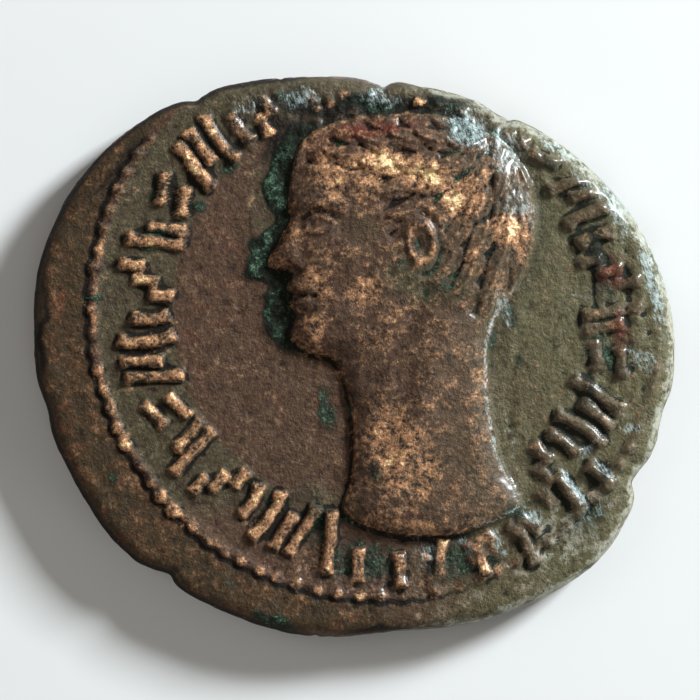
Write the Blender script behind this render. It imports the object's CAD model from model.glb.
"""A worn Roman bronze coin, lying on its reverse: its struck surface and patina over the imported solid."""
import math

import bpy
import numpy as np
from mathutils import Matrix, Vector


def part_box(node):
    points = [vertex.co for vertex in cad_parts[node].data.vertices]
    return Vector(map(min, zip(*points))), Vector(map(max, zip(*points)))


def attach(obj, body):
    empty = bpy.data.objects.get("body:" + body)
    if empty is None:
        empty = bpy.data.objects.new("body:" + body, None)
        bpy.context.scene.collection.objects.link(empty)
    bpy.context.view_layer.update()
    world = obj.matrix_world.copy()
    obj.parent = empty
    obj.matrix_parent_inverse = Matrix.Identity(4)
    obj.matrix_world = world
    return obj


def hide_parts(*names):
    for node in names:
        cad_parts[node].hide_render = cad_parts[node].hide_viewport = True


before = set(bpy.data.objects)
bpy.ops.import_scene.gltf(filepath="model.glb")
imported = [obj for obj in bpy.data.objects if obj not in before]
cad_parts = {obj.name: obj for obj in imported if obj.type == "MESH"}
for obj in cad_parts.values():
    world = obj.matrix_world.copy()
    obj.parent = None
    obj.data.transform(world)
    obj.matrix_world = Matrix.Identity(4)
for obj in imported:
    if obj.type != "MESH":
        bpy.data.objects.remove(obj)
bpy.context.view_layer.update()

# Lengths are in millimetres until the mesh is made
MM = 0.001
coin_low, coin_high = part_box("coin")
FLAN_WIDTH = (coin_high[0] - coin_low[0]) / MM
FLAN_HEIGHT = (coin_high[1] - coin_low[1]) / MM
COIN_TOP = (coin_high[2] - coin_low[2]) / MM

# The flan
CORE = 1.8
SINK = 0.28
FIELD_Z = CORE + SINK
MID_Z = FIELD_Z / 2
EDGE_ROUND = 0.75
EDGE_FULLNESS = 0.8
FACE_TURN = math.radians(35)
WALL_BANDS = 8
FLAN_SIDES = 96
EDGE_WANDER = (0.993, 0.994, 0.986, 0.985, 0.985, 1.007, 1.052, 1.070, 1.039,
               0.996, 0.980, 1.000, 1.003, 1.011, 0.997, 1.032, 1.052, 0.990)
# Nicks and splits of the edge: degrees round from +X, depth, half their width in degrees
EDGE_NICKS = ((59, 0.25, 3.2), (85, 0.25, 3.2), (121, 0.2, 3.2), (190, 0.12, 3.2),
              (229, 0.3, 3.2), (336.5, 0.35, 3.2), (349, 0.15, 4.2))
EDGE_SPLITS = ((57, 0.1, 0.7), (84, 0.12, 0.9), (105, 0.08, 0.6), (122, 0.1, 1.1), (230, 0.12, 1.3),
               (262, 0.07, 0.6), (335, 0.14, 1.2), (24, 0.08, 0.8))
# Dents in the wall, as height, size, seed and layers, and the share of the radius whose patches it takes on
BROAD_DENTS = ((0.06, 1.6, 91, 3),)
SMALL_DENTS = ((0.025, 0.5, 95, 2),)
CRUMBLED_DENTS = ((0.1, 0.9, 93, 3),)
DENT_FLATNESS = 1.3
INSIDE_EDGE = 0.96

# The dies
DIE_X, DIE_Y = 1.1, 2.1
BORDER_RADIUS = 12.9
BEAD_WIDTH = 0.6
BEAD_HEIGHT = 0.22
BEAD_PITCH = 0.92
BEAD_RIDGE = 0.13
STROKE_FOOT = 9.25
STROKE_HEAD = 11.8
STROKE_WIDTH = 0.72
STROKE_RELIEF = 0.3
STROKE_WALL = 0.2
SHOWN_STROKE = 0.6
STROKE_PITCH = 2.0
LEGEND_START = math.radians(249)
LEGEND_SWEEP = math.radians(347)
SHORTEST_STROKE = 0.9
SHIFTED_STROKE = 2.1
STROKE_SPAN = 2.9
LEAST_SLENDER = 1.05
TRIM = 0.4
HEAD_HEIGHT = 10.8
FACE_LINE = -2.95
CHIN_LEVEL = 0.2
BUST_RELIEF = 0.95
BUST_EDGE = 0.3
BUST_CLEARANCE = 0.3
REVERSE_X, REVERSE_Y = -0.4, 0.5
FIGURE_HEIGHT = 16.5
FIGURE_RELIEF = 0.2
REVERSE_BORDER = 11.4
LAND = 1.0
LAND_SLOPE = 0.8

OBVERSE_CELLS = 264
REVERSE_CELLS = OBVERSE_CELLS // 2

# Chance values: odd factors and shifts that scatter a net's cells
SCATTER_FACTORS = (374761393, 668265263, 1442695041, 1274126177)
SCATTER_SHIFTS = (13, 16)
WORD = 0xFFFFFFFF
CHANCE_STEPS = 0xFFFFFF
# How far each smaller layer of lumps is moved from the last
LAYER_SHIFT = (13.7, -7.3)
# The share of its cell that a pit may wander, its least radius and what chance adds to that
PIT_WANDER = 0.6
PIT_RADIUS = (0.16, 0.34)
TINY = 1e-12
NEARLY_NONE = 1e-6
FULL_TURN = 360


def smooth(share):
    """An easing from 0 to 1 as the share goes from 0 to 1."""
    held = np.clip(share, 0, 1)
    return held * held * (3 - 2 * held)


def eased(value, start, full):
    """An easing from 0 to 1 as a value goes from its start to where it is full."""
    return smooth((value - start) / (full - start))


def at_least(least, share):
    """A share from 0 to 1 squeezed so that it never falls below its least."""
    return least + (1 - least) * share


def ridge(off, half_width):
    """1 on a ridge's line, falling off softly to both sides."""
    return np.exp(-((off / half_width) ** 2))


def dome(squared):
    """Height of a rounded form from the square of the share of the way to its edge."""
    return np.sqrt(np.clip(1 - squared, 0, 1))


def through(a, b, c, d, share):
    """The value of a smooth curve through four knots, between the middle two."""
    return b + 0.5 * share * (c - a + share * (2 * a - 5 * b + 4 * c - d + share * (3 * (b - c) + d - a)))


def smooth_path(knots, steps, closed=False):
    """A smooth curve through knots, as a list of points."""
    count = len(knots)
    path = []
    for k in range(count if closed else count - 1):
        near = [(k + m) % count if closed else min(max(k + m, 0), count - 1) for m in (-1, 0, 1, 2)]
        a, b, c, d = (knots[n] for n in near)
        for step in range(steps):
            path.append(tuple(through(a[i], b[i], c[i], d[i], step / steps) for i in (0, 1)))
    return path if closed else path + [tuple(knots[-1])]


def cell_value(i, j, seed):
    """A fixed chance value from 0 to 1 for a cell of a net."""
    by_column, by_row, by_seed, stir = SCATTER_FACTORS
    mixed = (i * by_column + j * by_row + seed * by_seed) & WORD
    mixed = ((mixed ^ (mixed >> SCATTER_SHIFTS[0])) * stir) & WORD
    return ((mixed ^ (mixed >> SCATTER_SHIFTS[1])) & CHANCE_STEPS) / CHANCE_STEPS


def lumps(x, y, size, seed):
    """Soft chance lumps of one size, from -1 to 1."""
    i = np.floor(x / size).astype(np.int64)
    j = np.floor(y / size).astype(np.int64)
    across = smooth(x / size - i)
    up = smooth(y / size - j)
    low = cell_value(i, j, seed) * (1 - across) + cell_value(i + 1, j, seed) * across
    high = cell_value(i, j + 1, seed) * (1 - across) + cell_value(i + 1, j + 1, seed) * across
    return 2 * (low * (1 - up) + high * up) - 1


def rough(x, y, size, seed, layers=4):
    """Chance lumps with smaller lumps on them, each layer half the size and height of the last."""
    total = 0
    for k in range(layers):
        total = total + lumps(x + LAYER_SHIFT[0] * k, y + LAYER_SHIFT[1] * k, size / 2**k, seed + k) / 2**k
    return total / (2 - 0.5**(layers - 1))


def roughs(x, y, sizes):
    """Chance lumps of several sizes added up: height, size, seed and number of layers of each."""
    return sum(height * rough(x, y, size, seed, layers) for height, size, seed, layers in sizes)


def blotches(x, y, size, seed, contrast, cover, layers=4):
    """Soft blotches from 0 to 1, by their size, how sharp they are and how much they cover."""
    return smooth(rough(x, y, size, seed, layers) * contrast + cover)


def pits(x, y, size, seed, share):
    """Round pits in a share of the cells of a net: 1 in a pit's middle, 0 outside it."""
    i = np.floor(x / size).astype(np.int64)
    j = np.floor(y / size).astype(np.int64)
    deepest = np.zeros(np.shape(x))
    for di in (-1, 0, 1):
        for dj in (-1, 0, 1):
            chances = [cell_value(i + di, j + dj, seed + k) for k in range(4)]
            middle_x = (i + di + (1 - PIT_WANDER) / 2 + PIT_WANDER * chances[0]) * size
            middle_y = (j + dj + (1 - PIT_WANDER) / 2 + PIT_WANDER * chances[1]) * size
            radius = size * (PIT_RADIUS[0] + PIT_RADIUS[1] * chances[2])
            off = np.hypot(x - middle_x, y - middle_y) / radius
            deepest = np.maximum(deepest, np.where(chances[3] < share, np.clip(1 - off * off, 0, 1), 0))
    return deepest


def to_segment(u, v, start, end):
    """Distance to a straight line between two points, and the share of the way along it."""
    du, dv = end[0] - start[0], end[1] - start[1]
    share = np.clip(((u - start[0]) * du + (v - start[1]) * dv) / (du * du + dv * dv + TINY), 0, 1)
    return np.hypot(u - start[0] - share * du, v - start[1] - share * dv), share


def path_place(x, y, path):
    """Distance to a path of points, and how far along it the nearest place lies."""
    nearest = np.full(np.shape(x), np.inf)
    place = np.zeros(np.shape(x))
    run = 0
    for start, end in zip(path, path[1:]):
        off, share = to_segment(x, y, start, end)
        closer = off < nearest
        long = math.dist(start, end)
        nearest = np.where(closer, off, nearest)
        place = np.where(closer, run + share * long, place)
        run += long
    return nearest, place, run


def depth_in(loop, u, v):
    """Distance to a closed loop, positive inside it."""
    nearest = np.full(np.shape(u), np.inf)
    inside = np.zeros(np.shape(u), bool)
    for start, end in zip([loop[-1]] + loop[:-1], loop):
        nearest = np.minimum(nearest, to_segment(u, v, start, end)[0])
        if start[1] != end[1]:
            crossing = start[0] + (end[0] - start[0]) * (v - start[1]) / (end[1] - start[1])
            inside ^= ((start[1] > v) != (end[1] > v)) & (u < crossing)
    return np.where(inside, nearest, -nearest)


# The bust, in shares of the head's height: across from the face, up from the chin
BUST_OUTLINE = (
    # throat, chin and mouth
    (0.255, -0.2), (0.2, -0.045), (0.085, -0.004), (0.022, 0.045), (0.01, 0.095), (0.034, 0.15),
    (0.008, 0.195), (0.024, 0.234), (-0.006, 0.268), (0.014, 0.315), (-0.004, 0.338),
    # nose and brow
    (-0.056, 0.345), (-0.086, 0.372), (-0.06, 0.425), (-0.022, 0.495), (0.012, 0.552), (0, 0.605),
    (0.004, 0.69), (0.02, 0.76),
    # crown, back and nape
    (0.04, 0.845), (0.12, 0.925), (0.3, 0.985), (0.5, 1), (0.69, 0.975), (0.86, 0.9), (0.975, 0.775),
    (1.03, 0.625), (1.03, 0.47), (0.985, 0.33), (0.905, 0.21),
    # neck and cut
    (0.85, 0.1), (0.83, -0.05), (0.845, -0.25), (0.885, -0.45), (0.965, -0.63),
    (0.86, -0.71), (0.66, -0.765), (0.42, -0.755), (0.235, -0.67), (0.262, -0.53), (0.272, -0.36))
HAIRLINE = (
    (-0.05, 0.8), (0.1, 0.775), (0.22, 0.755), (0.33, 0.7), (0.375, 0.62), (0.4, 0.53), (0.425, 0.44),
    (0.455, 0.4), (0.475, 0.46), (0.485, 0.54), (0.53, 0.6), (0.595, 0.6), (0.635, 0.54),
    (0.645, 0.43), (0.635, 0.35), (0.65, 0.27), (0.72, 0.19), (0.8, 0.12), (0.9, 0.08))
BEHIND_HAIR = [(1.3, 0.05), (1.3, 1.3), (-0.4, 1.3), (-0.4, 0.8)]
OUTLINE_STEPS = 5
HAIRLINE_STEPS = 3
BUST_LOOP = smooth_path(BUST_OUTLINE, OUTLINE_STEPS, closed=True)
HAIR_LOOP = smooth_path(HAIRLINE, HAIRLINE_STEPS) + BEHIND_HAIR
# The bust's rounded side: its width and fullness, what is left of the masses and of the skin at its edge,
# its foot and the hairline's slope, the share of the skin that hair hides, and how flat its top is rubbed
SIDE_WIDTH = 0.11
SIDE_FULLNESS = 2.4
MASS_AT_EDGE = 0.5
SKIN_AT_EDGE = 0.35
BUST_FOOT = (-0.012, 0.012)
HAIR_SLOPE = (-0.009, 0.021)
HAIR_COVER = 0.85
HAIR_SINK = 0.2
RUBBED_TOP = 1.14
FORM_JOIN = 0.1
WHORL = (0.86, 0.95)
EAR = (0.55, 0.455)
EAR_RADII = (0.062, 0.098)
EAR_TURN = 10
# Its rim and the groove round it: height and place in shares of its radii; then its plate, and its fades
EAR_RIM = (0.15, 0.85)
EAR_GROOVE = (-0.1, 1.35)
EAR_RIM_HALF = 0.2
EAR_PLATE = 0.05
EAR_PLATE_EDGE = (1.1, 0.8)
EAR_RIM_FOOT = (1.2, 0.2)
EAR_RIM_FRONT = (-1.5, -0.5 / 7)
EAR_GROOVE_FRONT = (-0.6, 0.4)

# The big masses of the head: height, middle, radii, turn in degrees
HEAD_MASSES = (
    (0.98, (0.58, 0.58), (0.6, 0.56), 0),
    (0.93, (0.33, 0.36), (0.44, 0.52), 12),
    (0.86, (0.27, 0.17), (0.36, 0.24), 14))
MASS_FULLNESS = 0.4
# The neck: relief, middle at the chin and how it leans, half width and how it flares, and where it starts
NECK_RELIEF = 0.8
NECK_MIDDLE = 0.53
NECK_LEAN = 0.1
NECK_HALF = 0.38
NECK_FLARE = 0.12
FLARE_POWER = 1.5
NECK_TOP = (0.42, 0.12)
# Ridges and folds of the skin: height, line, half width, share of the line that fades at its ends
SKIN_LINES = (
    # brow and lids
    (0.10, ((0.01, 0.6), (0.08, 0.622), (0.17, 0.615), (0.25, 0.575)), 0.030, 0.12),
    (0.14, ((0.058, 0.518), (0.095, 0.556), (0.15, 0.563), (0.212, 0.526)), 0.0125, 0.12),
    (0.095, ((0.06, 0.514), (0.11, 0.496), (0.16, 0.5), (0.208, 0.522)), 0.012, 0.12),
    (-0.045, ((0.07, 0.582), (0.13, 0.59), (0.215, 0.56)), 0.012, 0.2),
    # nose
    (0.10, ((0.02, 0.545), (-0.015, 0.48), (-0.05, 0.405), (-0.056, 0.378)), 0.036, 0.02),
    (-0.10, ((0.058, 0.5), (0.052, 0.44), (0.06, 0.4), (0.066, 0.35)), 0.024, 0.2),
    # lips, the fold of the cheek and the fold over the chin
    (0.10, ((0.004, 0.263), (0.045, 0.264), (0.108, 0.244)), 0.019, 0.2),
    (0.10, ((0.014, 0.204), (0.05, 0.203), (0.1, 0.224)), 0.020, 0.2),
    (-0.13, ((0.01, 0.236), (0.06, 0.237), (0.124, 0.231)), 0.0115, 0.1),
    (-0.04, ((0.075, 0.372), (0.118, 0.32), (0.14, 0.25)), 0.022, 0.3),
    (-0.06, ((0.03, 0.158), (0.075, 0.156), (0.115, 0.172)), 0.022, 0.3),
    # jaw
    (0.05, ((0.13, 0.03), (0.28, 0.06), (0.41, 0.14), (0.48, 0.27)), 0.045, 0.2),
    (-0.13, ((0.18, -0.035), (0.33, -0.02), (0.47, 0.06), (0.56, 0.2), (0.58, 0.3)), 0.036, 0.15),
    # neck
    (0.09, ((0.66, 0.18), (0.6, -0.08), (0.5, -0.4), (0.38, -0.72)), 0.060, 0.12),
    (-0.06, ((0.54, 0), (0.45, -0.26), (0.36, -0.56)), 0.045, 0.3),
    (-0.05, ((0.74, 0), (0.71, -0.3), (0.74, -0.6)), 0.060, 0.3))
# Swellings and hollows of the skin: height, middle, radii, turn in degrees
SKIN_SWELLS = (
    # eye socket, nose tip and nostril
    (-0.20, (0.085, 0.548), (0.065, 0.042), -8),
    (-0.12, (0.165, 0.545), (0.085, 0.042), -8),
    (-0.05, (0.1, 0.53), (0.014, 0.014), 0),
    (0.12, (0.018, 0.372), (0.036, 0.028), -8),
    (-0.06, (-0.018, 0.35), (0.02, 0.01), -10),
    # corner of the mouth, chin, cheek
    (-0.05, (0.13, 0.23), (0.018, 0.02), 0),
    (0.08, (0.07, 0.078), (0.07, 0.06), 0),
    (0.08, (0.24, 0.435), (0.12, 0.06), -12),
    (-0.05, (0.25, 0.27), (0.09, 0.09), 0),
    # the ear's hollow, lobe and front flap
    (-0.13, (0.544, 0.45), (0.024, 0.042), 10),
    (0.13, (0.538, 0.365), (0.028, 0.03), 0),
    (0.06, (0.5, 0.435), (0.014, 0.022), 0))
EYEBALL = (0.2, (0.13, 0.53), (0.064, 0.04))
EAR_FOLD = (0.06, ((0.546, 0.5), (0.562, 0.47), (0.558, 0.425), (0.54, 0.405)), 0.011, 0.2)
LOCK_LENGTH = 2.0
LOCK_WIDTH = 1.15
LOCK_OVERLAP = 0.72
LOCK_RELIEF = 0.32
# How the locks lie: sway of a row and its pace, curl, stagger, seed, half width and taper with their chance
# parts, height at the root, pitch of the strands and the height between them
LOCK_SWAY = (0.25, 2.3)
LOCK_CURL = 0.55
LOCK_STAGGER = 0.5
LOCK_SEED = 77
LOCK_HALF = (0.56, 0.14)
LOCK_TAPER = (0.86, 0.2)
LOCK_ROOT = (0.5, 2)
FIRST_ROW = 0.7
LOCK_CELLS = (500, 50)
ROOT_HEIGHT = 0.4
STRAND_PITCH = 7.5
BETWEEN_STRANDS = 0.6
LINE_STEPS = 5
EYEBALL_FULLNESS = 0.65


def swell(u, v, middle, radii, turn=0):
    """How far a point is from the middle of an oval: 1 on its line, growing with the square."""
    c, s = math.cos(math.radians(turn)), math.sin(math.radians(turn))
    along = ((u - middle[0]) * c + (v - middle[1]) * s) / radii[0]
    across = ((v - middle[1]) * c - (u - middle[0]) * s) / radii[1]
    return along * along + across * across


def line_form(u, v, line, half_width, fade):
    """1 along a curved line, falling off to each side and towards both ends."""
    points = smooth_path(line, LINE_STEPS)
    nearest = np.full(np.shape(u), np.inf)
    along = np.zeros(np.shape(u))
    for k, (start, end) in enumerate(zip(points, points[1:])):
        off, share = to_segment(u, v, start, end)
        closer = off < nearest
        nearest = np.where(closer, off, nearest)
        along = np.where(closer, (k + share) / (len(points) - 1), along)
    return ridge(nearest, half_width) * smooth(along / fade) * smooth((1 - along) / fade)


def blended(heights, reach):
    """The highest of some heights, rounded where two are close."""
    top = heights[0]
    for other in heights[1:]:
        near = np.clip(reach - np.abs(top - other), 0, None) / reach
        top = np.maximum(top, other) + near * near * reach / 4
    return top


def rubbed_to(height, ceiling, reach):
    """A height rubbed down to a ceiling, rounded where it meets it."""
    near = np.clip(reach - np.abs(height - ceiling), 0, None) / reach
    return np.minimum(height, ceiling) - near * near * reach / 4


def head_form(u, v):
    """The skull, the face, the jaw and the neck as one rounded form."""
    masses = [height * np.clip(1 - swell(u, v, middle, radii, turn), 0, 1) ** MASS_FULLNESS
              for height, middle, radii, turn in HEAD_MASSES]
    off_middle = u - NECK_MIDDLE + NECK_LEAN * v
    half = NECK_HALF + NECK_FLARE * np.clip(-v, 0, None) ** FLARE_POWER
    neck = NECK_RELIEF * dome((off_middle / half) ** 2) * eased(v, *NECK_TOP)
    return blended(masses + [neck], FORM_JOIN)


def skin(u, v):
    """Brow, eye, nose, mouth, chin, cheek, jaw and neck: calm, plain and nobody's."""
    height = sum(rise * line_form(u, v, *form) for rise, *form in SKIN_LINES)
    for rise, middle, radii, turn in SKIN_SWELLS:
        height = height + rise * np.exp(-swell(u, v, middle, radii, turn))
    rise, middle, radii = EYEBALL
    return height + rise * np.clip(1 - swell(u, v, middle, radii), 0, 1) ** EYEBALL_FULLNESS


def ear(u, v):
    """The rim, the inner fold and the groove round an ear."""
    ring = np.sqrt(swell(u, v, EAR, EAR_RADII, EAR_TURN))
    below = (EAR[1] - v) / EAR_RADII[1]
    behind = (u - EAR[0]) / EAR_RADII[0]
    rim = EAR_RIM[0] * ridge(ring - EAR_RIM[1], EAR_RIM_HALF)
    groove = EAR_GROOVE[0] * ridge(ring - EAR_GROOVE[1], EAR_RIM_HALF)
    rise, *form = EAR_FOLD
    return (rim * eased(below, *EAR_RIM_FOOT) * eased(behind, *EAR_RIM_FRONT)
            + EAR_PLATE * eased(ring, *EAR_PLATE_EDGE) + rise * line_form(u, v, *form)
            + groove * eased(behind, *EAR_GROOVE_FRONT))


def locks(u, v):
    """Short overlapping locks in rows that spread from the whorl: 1 on a crest, 0 between locks."""
    step = LOCK_OVERLAP * LOCK_LENGTH / HEAD_HEIGHT
    wide = LOCK_WIDTH / HEAD_HEIGHT
    reach = np.hypot(u - WHORL[0], v - WHORL[1])
    turn = np.arctan2(v - WHORL[1], u - WHORL[0])
    crest = np.zeros(np.shape(u))
    newest = np.floor(reach / step)
    for row in (newest, newest - 1):
        run = (reach / step - row) * LOCK_OVERLAP
        count = np.round(2 * np.pi * (row + FIRST_ROW) * step / wide)
        swayed = LOCK_SWAY[0] * np.sin(LOCK_SWAY[1] * row) + LOCK_CURL * run * run + LOCK_STAGGER * (row % 2)
        place = turn / (2 * np.pi) * count + swayed
        which = np.round(place)
        cell = [(value + first).astype(np.int64) for value, first in zip((which, row), LOCK_CELLS)]
        own = cell_value(*cell, LOCK_SEED)
        half = (LOCK_HALF[0] + LOCK_HALF[1] * own) * dome(run * (LOCK_TAPER[0] + LOCK_TAPER[1] * own))
        half = np.maximum(half * np.minimum(1, LOCK_ROOT[0] + LOCK_ROOT[1] * run), NEARLY_NONE)
        across = (place - which) / half
        body = at_least(ROOT_HEIGHT, run) * dome(across * across)
        strands = 0.5 + 0.5 * np.cos(across * STRAND_PITCH)
        crest = np.maximum(crest, np.where(row >= 0, body * at_least(BETWEEN_STRANDS, strands), 0))
    return crest


def bust(u, v):
    """Height of the bust over the field, and the depth inside its outline."""
    depth = depth_in(BUST_LOOP, u, v)
    side = 1 - np.clip(1 - np.maximum(depth, 0) / SIDE_WIDTH, 0, 1) ** SIDE_FULLNESS
    hair = eased(depth_in(HAIR_LOOP, u, v), *HAIR_SLOPE)
    flesh = (skin(u, v) * (1 - HAIR_COVER * hair) + ear(u, v)) * at_least(SKIN_AT_EDGE, side)
    combed = hair * (LOCK_RELIEF * locks(u, v) - HAIR_SINK)
    height = head_form(u, v) * at_least(MASS_AT_EDGE, side) + flesh + combed
    height = np.maximum(BUST_EDGE, rubbed_to(height, RUBBED_TOP, FORM_JOIN))
    return BUST_RELIEF * height * eased(depth, *BUST_FOOT), depth


# Groups of strokes round the coin: start across and up, end across and up, and how far each bows
STROKE_GROUPS = (
    ((-0.3, 0, -0.06, 1, 0), (0.12, 0.3, 0.32, 1, 0)),
    ((-0.22, 0.02, -0.22, 0.98, 0.36), (0.26, 0.1, 0.26, 0.72, 0.28)),
    ((-0.3, 0, -0.3, 0.4, 0), (0, 0.3, 0, 0.72, 0), (0.3, 0.6, 0.3, 1, 0)),
    ((0.02, 0, -0.22, 1, 0), (0.34, 0.05, 0.18, 0.7, 0)),
    ((-0.34, 0.2, 0.3, 0.38, 0), (-0.3, 0.66, 0.34, 0.84, 0)))

# Bolder strokes below and beside the neck: their ends
LOWER_STROKES = (
    ((-0.95, -6.6), (-1.25, -10.1)), ((0.25, -8.3), (0.05, -10.5)), ((1.95, -8.5), (2.15, -10.7)),
    ((5.3, -8.1), (6.2, -10.3)), ((7.2, -7.6), (8.4, -9.6)), ((8.9, -5.1), (10.4, -7.1)),
    ((10.3, -4.6), (11.8, -6.1)))
LOWER_BOLDNESS = 1.3
REACH_STEP = 0.1
BOW_STEPS = 9
# A stroke's waist and what its ends add, how long those are, its run-out in walls, and its flat top's height
STROKE_WAIST = (0.88, 0.24)
STROKE_END = 0.5
END_WALLS = 1.5
STROKE_FLAT = 0.7
# Ragged sides of the strokes: height, size, seeds across and up, layers; then their wear and grain
RAGGED_STROKES = (0.12, 0.9, (31, 33), 4)
STROKE_WEAR = (0.35, (2.6, 37, 1, 0.45, 3))
STROKE_GRAIN = ((0.2, 0.45, 38, 2),)
# The border: wander of its line, its beads' chance parts, its ridge's scallops, slopes and dark foot
BORDER_WANDER = ((0.12, 1.7, 35, 3),)
BEAD_SEED = 5
BEAD_SHIFT = 0.3
BEAD_GIRTH = (0.75, 0.5)
BEAD_RISE = (0.7, 0.5)
SCALLOP = (0.04, 0.06)
RIDGE_OUTER = 0.22
RIDGE_INNER = 0.6
FOOT_LINE = (0.26, 0.14)
FOOT_FADE = (0.7, (2, 7))
BORDER_SHOWN = (TRIM + 0.1, TRIM + 0.5)
BORDER_JOIN = 0.08


def head_place(x, y):
    """A point of the coin in shares of the head's height: across from the face, up from the chin."""
    return (x - FACE_LINE) / HEAD_HEIGHT, (y - CHIN_LEVEL) / HEAD_HEIGHT


def bust_reach(angle):
    """How far out from the die's middle the bust reaches at an angle."""
    reaches = np.arange(BORDER_RADIUS, 0, -REACH_STEP)
    place = head_place(DIE_X + reaches * math.cos(angle), DIE_Y + reaches * math.sin(angle))
    over = np.nonzero(depth_in(BUST_LOOP, *place) * HEAD_HEIGHT > -BUST_CLEARANCE)[0]
    return reaches[over[0]] if len(over) else 0


def legend_strokes():
    """The strokes that stand for lettering, each as a path that runs half a width past its ends."""
    strokes = []
    middle = (STROKE_FOOT + STROKE_HEAD) / 2
    farthest = BORDER_RADIUS - BEAD_WIDTH / 2 - BUST_CLEARANCE
    for n in range(int(LEGEND_SWEEP * middle / STROKE_PITCH)):
        angle = LEGEND_START - n * STROKE_PITCH / middle
        foot = max(STROKE_FOOT, bust_reach(angle))
        tall = max(STROKE_HEAD, min(foot + SHIFTED_STROKE, farthest)) - foot
        out = np.array((math.cos(angle), math.sin(angle)))
        on = np.array((out[1], -out[0])) * STROKE_PITCH
        base = np.array((DIE_X, DIE_Y)) + out * foot
        for a0, b0, a1, b1, bow in STROKE_GROUPS[n % len(STROKE_GROUPS)]:
            start = base + out * b0 * tall + on * a0
            end = base + out * b1 * tall + on * a1
            long = math.dist(start, end)
            if tall < SHORTEST_STROKE or long < STROKE_WIDTH * LEAST_SLENDER:
                continue
            along = (end - start) / long
            across = np.array((-along[1], along[0]))
            past = STROKE_WIDTH / 2
            shares = np.linspace(0, 1, BOW_STEPS if bow else 2)
            strokes.append([start + along * (long * share + past * (2 * share - 1))
                            + across * 4 * bow * share * (1 - share) for share in shares])
    return strokes


def stroke_height(off, place, run):
    """Height of one stroke, from 0 to 1: a worn bar a little wider at its ends."""
    to_end = np.minimum(place, run - place) - STROKE_WIDTH / 2
    half = SHOWN_STROKE / 2 * (STROKE_WAIST[0] + STROKE_WAIST[1] * smooth(1 - to_end / STROKE_END))
    sides = smooth((half + STROKE_WALL / 2 - off) / STROKE_WALL)
    ends = smooth((to_end + STROKE_WALL) / STROKE_WALL / END_WALLS)
    crown = np.clip(1 - (off / half) ** 2, 0, 1)
    return sides * ends * at_least(STROKE_FLAT, crown)


def ragged(x, y, reach, size, seeds, layers):
    """Points pushed about by chance, so that what is drawn on them has ragged sides."""
    return [values + reach * rough(x, y, size, seed, layers) for values, seed in zip((x, y), seeds)]


def strokes_height(x, y, paths):
    """Height of some strokes over the field, with uneven sides and worn, grainy tops."""
    ragged_x, ragged_y = ragged(x, y, *RAGGED_STROKES)
    height = np.zeros(np.shape(x))
    for path in paths:
        middle = sum(path) / len(path)
        near = np.hypot(x - middle[0], y - middle[1]) < STROKE_SPAN
        risen = stroke_height(*path_place(ragged_x[near], ragged_y[near], path))
        height[near] = np.maximum(height[near], risen)
    most_worn, wear = STROKE_WEAR
    grainy = 1 + roughs(x, y, STROKE_GRAIN)
    return STROKE_RELIEF * (1 - most_worn * blotches(x, y, *wear)) * grainy * height


def border_height(x, y, inset):
    """Height of the beaded border, and how near a point is to the foot of its steep outer side."""
    out_x, out_y = x - DIE_X, y - DIE_Y
    off_line = np.hypot(out_x, out_y) - BORDER_RADIUS + roughs(x, y, BORDER_WANDER)
    count = round(2 * math.pi * BORDER_RADIUS / BEAD_PITCH)
    place = np.arctan2(out_y, out_x) / (2 * math.pi) * count
    own = cell_value(np.round(place).astype(np.int64) % count, np.zeros(np.shape(x), np.int64), BEAD_SEED)
    along = (place - np.round(place) + BEAD_SHIFT * (own - 0.5)) * BEAD_PITCH
    off = np.hypot(along, off_line) / (BEAD_WIDTH / 2 * (BEAD_GIRTH[0] + BEAD_GIRTH[1] * own))
    bead = BEAD_HEIGHT * (BEAD_RISE[0] + BEAD_RISE[1] * own) * dome(off * off)
    scallop = off_line - SCALLOP[0] - SCALLOP[1] * np.cos(along / BEAD_PITCH * 2 * math.pi)
    slopes = np.where(scallop > 0, smooth(1 - scallop / RIDGE_OUTER), smooth(1 + scallop / RIDGE_INNER))
    under_bust = depth_in(BUST_LOOP, *head_place(x, y)) * HEAD_HEIGHT
    shown = eased(inset, *BORDER_SHOWN) * smooth(-under_bust / BUST_CLEARANCE)
    fade, fade_out = FOOT_FADE
    foot = ridge(scallop - FOOT_LINE[0], FOOT_LINE[1]) * shown * (1 - fade * eased(x, *fade_out))
    return blended([bead * shown, BEAD_RIDGE * slopes * shown], BORDER_JOIN), foot


def rough_edge(angle):
    """The flan's uneven outline before it is fitted to its width and height."""
    oval = 1 / np.hypot(np.cos(angle) / (FLAN_WIDTH / 2), np.sin(angle) / (FLAN_HEIGHT / 2))
    knots = np.array(EDGE_WANDER)
    place = (angle / (2 * np.pi)) % 1 * len(knots)
    k = np.floor(place).astype(int)
    a, b, c, d = (knots[(k + m) % len(knots)] for m in (-1, 0, 1, 2))
    radius = oval * through(a, b, c, d, place - k)
    for where, depth, half_width in EDGE_NICKS:
        radius = radius - depth * ridge(degrees_off(angle, where), half_width)
    return np.cos(angle) * radius, np.sin(angle) * radius


def degrees_off(angle, where):
    """Degrees from one direction to another, from -180 to 180."""
    return (np.degrees(angle) - where + 1.5 * FULL_TURN) % FULL_TURN - FULL_TURN / 2


def flan_edge(angle):
    """Points of the flan's outline, the same line as the solid's."""
    sides = rough_edge(np.arange(FLAN_SIDES) * 2 * np.pi / FLAN_SIDES)
    line = []
    for values, size, samples in zip(rough_edge(angle), (FLAN_WIDTH, FLAN_HEIGHT), sides):
        low, high = samples.min(), samples.max()
        line.append((values - (high + low) / 2) * size / (high - low))
    return line


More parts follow.
